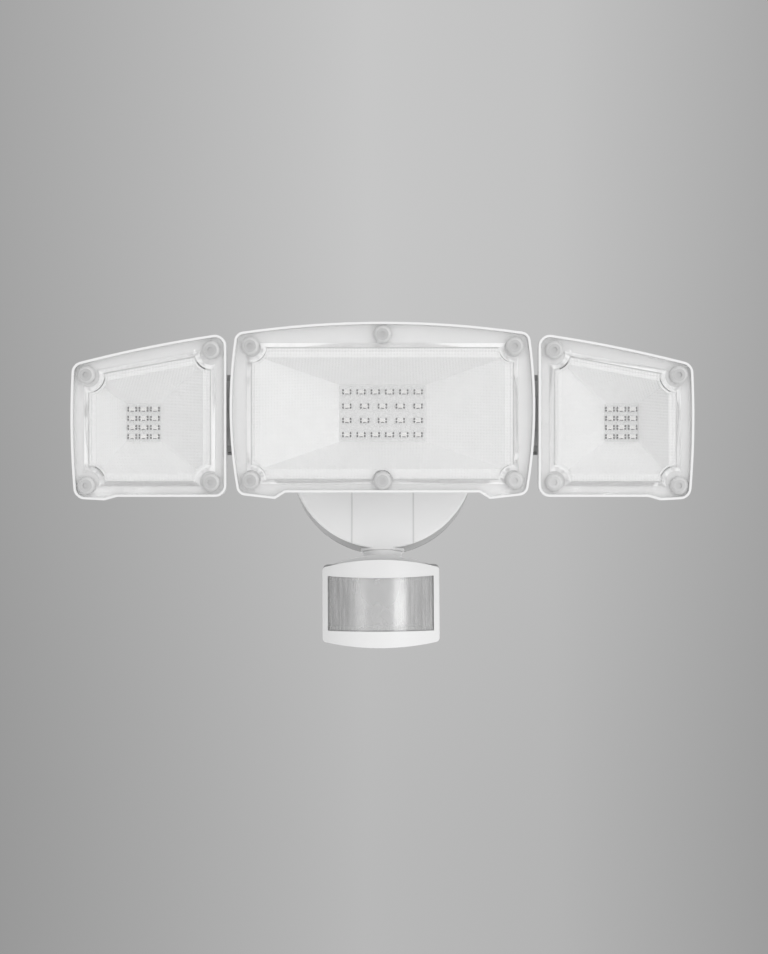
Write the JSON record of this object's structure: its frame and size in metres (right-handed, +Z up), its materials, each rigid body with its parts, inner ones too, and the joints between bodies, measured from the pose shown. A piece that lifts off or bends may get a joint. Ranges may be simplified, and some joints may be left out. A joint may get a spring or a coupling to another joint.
{
  "type": "motion sensor security light",
  "caption": "Wall light with a wide middle flood head, two hinged side heads and a tilting motion sensor under a round canopy.",
  "frame": {"origin": "middle of the mounting strip's back face, on the wall plane behind the canopy", "axes": "+X to the right seen from the front, -Y out of the wall, +Z up"},
  "size_m": [0.3556, 0.1203, 0.1813],
  "materials": {
    "white_casting": "satin",
    "white_moulding": "satin",
    "grey_moulding": "satin",
    "clear_cover": "gloss",
    "seal": "matte",
    "reflector": "satin",
    "board": "satin",
    "led": "gloss",
    "dial": "satin",
    "lens": "satin",
    "driver_case": "satin",
    "plated_steel": "satin",
    "ground_screw": "satin",
    "screw_steel": "satin"
  },
  "bodies": {
    "canopy": {"canopy_cover": "white_moulding", "canopy_gasket": "seal", "mounting_bracket": "plated_steel", "canopy_screws": "screw_steel", "ground_screw": "ground_screw", "led_driver": "driver_case", "tilt_arm": "white_casting", "arm_screws": "screw_steel"},
    "center_head": {"center_housing": "white_casting", "center_cover": "clear_cover", "center_gasket": "seal", "center_reflector": "reflector", "center_led_board": "board", "center_leds": "led", "center_cover_screws": "screw_steel", "tilt_bolt": "screw_steel", "tilt_nut": "screw_steel", "left_swing_bolt": "screw_steel", "left_swing_nut": "screw_steel", "right_swing_bolt": "screw_steel", "right_swing_nut": "screw_steel"},
    "left_head": {"left_housing": "white_casting", "left_cover": "clear_cover", "left_gasket": "seal", "left_reflector": "reflector", "left_led_board": "board", "left_leds": "led", "left_cover_screws": "screw_steel"},
    "right_head": {"right_housing": "white_casting", "right_cover": "clear_cover", "right_gasket": "seal", "right_reflector": "reflector", "right_led_board": "board", "right_leds": "led", "right_cover_screws": "screw_steel"},
    "sensor_neck": {"sensor_neck": "white_moulding", "sensor_neck_nut": "screw_steel"},
    "sensor_head": {"sensor_housing": "grey_moulding", "sensor_bezel": "white_moulding", "sensor_lens": "lens", "sensor_board": "board", "motion_detector": "plated_steel", "sensor_tilt_bolt": "screw_steel"},
    "time_dial": {"time_dial": "dial"},
    "light_dial": {"light_dial": "dial"},
    "range_dial": {"range_dial": "dial"}
  },
  "joints": [
    {"name": "head_tilt", "type": "hinge", "parent": "canopy", "child": "center_head", "pos_m": [0, -0.0502, 0.0104], "axis": [1, 0, 0], "range_deg": [-45, 35]},
    {"name": "right_swing", "type": "hinge", "parent": "center_head", "child": "right_head", "pos_m": [0.08805, -0.08749, 0.01459], "axis": [0, -0.1736, 0.9848], "range_deg": [0, 55]},
    {"name": "left_swing", "type": "hinge", "parent": "center_head", "child": "left_head", "pos_m": [-0.08805, -0.08749, 0.01459], "axis": [0, 0.1736, -0.9848], "range_deg": [0, 55]},
    {"name": "sensor_pan", "type": "hinge", "parent": "canopy", "child": "sensor_neck", "pos_m": [0, -0.016, -0.0578], "axis": [0, 0, 1], "range_deg": [-35, 35]},
    {"name": "sensor_tilt", "type": "hinge", "parent": "sensor_neck", "child": "sensor_head", "pos_m": [0, -0.016, -0.072], "axis": [0.999, -0.0436, 0], "range_deg": [-15, 15]},
    {"name": "time_dial_turn", "type": "hinge", "parent": "sensor_head", "child": "time_dial", "pos_m": [-0.01165, -0.01919, -0.11165], "axis": [-0.0053, -0.1218, 0.9925], "range_deg": [-135, 135]},
    {"name": "light_dial_turn", "type": "hinge", "parent": "sensor_head", "child": "light_dial", "pos_m": [-0.00016, -0.01969, -0.11165], "axis": [-0.0053, -0.1218, 0.9925], "range_deg": [-135, 135]},
    {"name": "range_dial_turn", "type": "hinge", "parent": "sensor_head", "child": "range_dial", "pos_m": [0.01133, -0.02019, -0.11165], "axis": [-0.0053, -0.1218, 0.9925], "range_deg": [-135, 135]}
  ]
}
